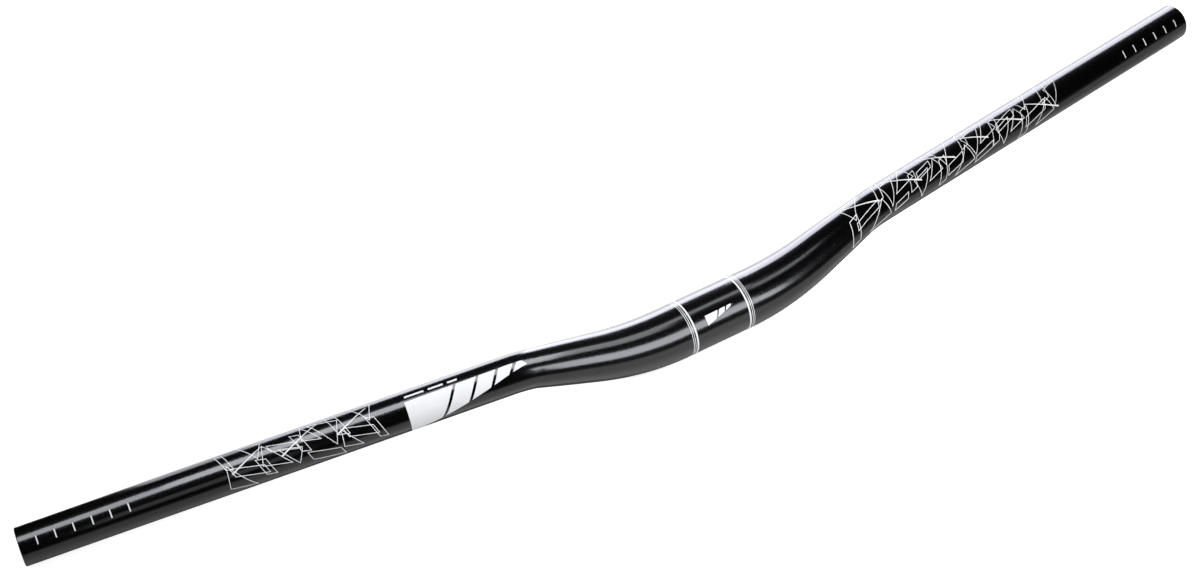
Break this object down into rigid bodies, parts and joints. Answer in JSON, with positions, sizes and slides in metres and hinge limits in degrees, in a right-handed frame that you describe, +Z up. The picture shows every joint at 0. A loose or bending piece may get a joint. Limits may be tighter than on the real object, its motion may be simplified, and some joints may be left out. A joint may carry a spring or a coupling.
{
  "type": "riser handlebar",
  "caption": "Black aluminium riser handlebar: a tapered tube with a wide middle clamp, a low rise, swept-back arms and white cut marks.",
  "frame": {"origin": "middle of the clamp, on its axis", "axes": "+X along the clamp axis to the right-hand end, +Y the way the arms sweep back, towards the rider, +Z up as the bar lies at rest. The bar lies on the underside of its clamp and on both end rims. As it rides it is turned about +X by about 29 degrees, so that the rise is upright."},
  "size_m": [0.7846, 0.0909, 0.0414],
  "materials": {
    "tube": "black, fine blasted satin",
    "print": "white ink, printed on the tube"
  },
  "bodies": {
    "root": {"handlebar": "tube"}
  },
  "joints": []
}
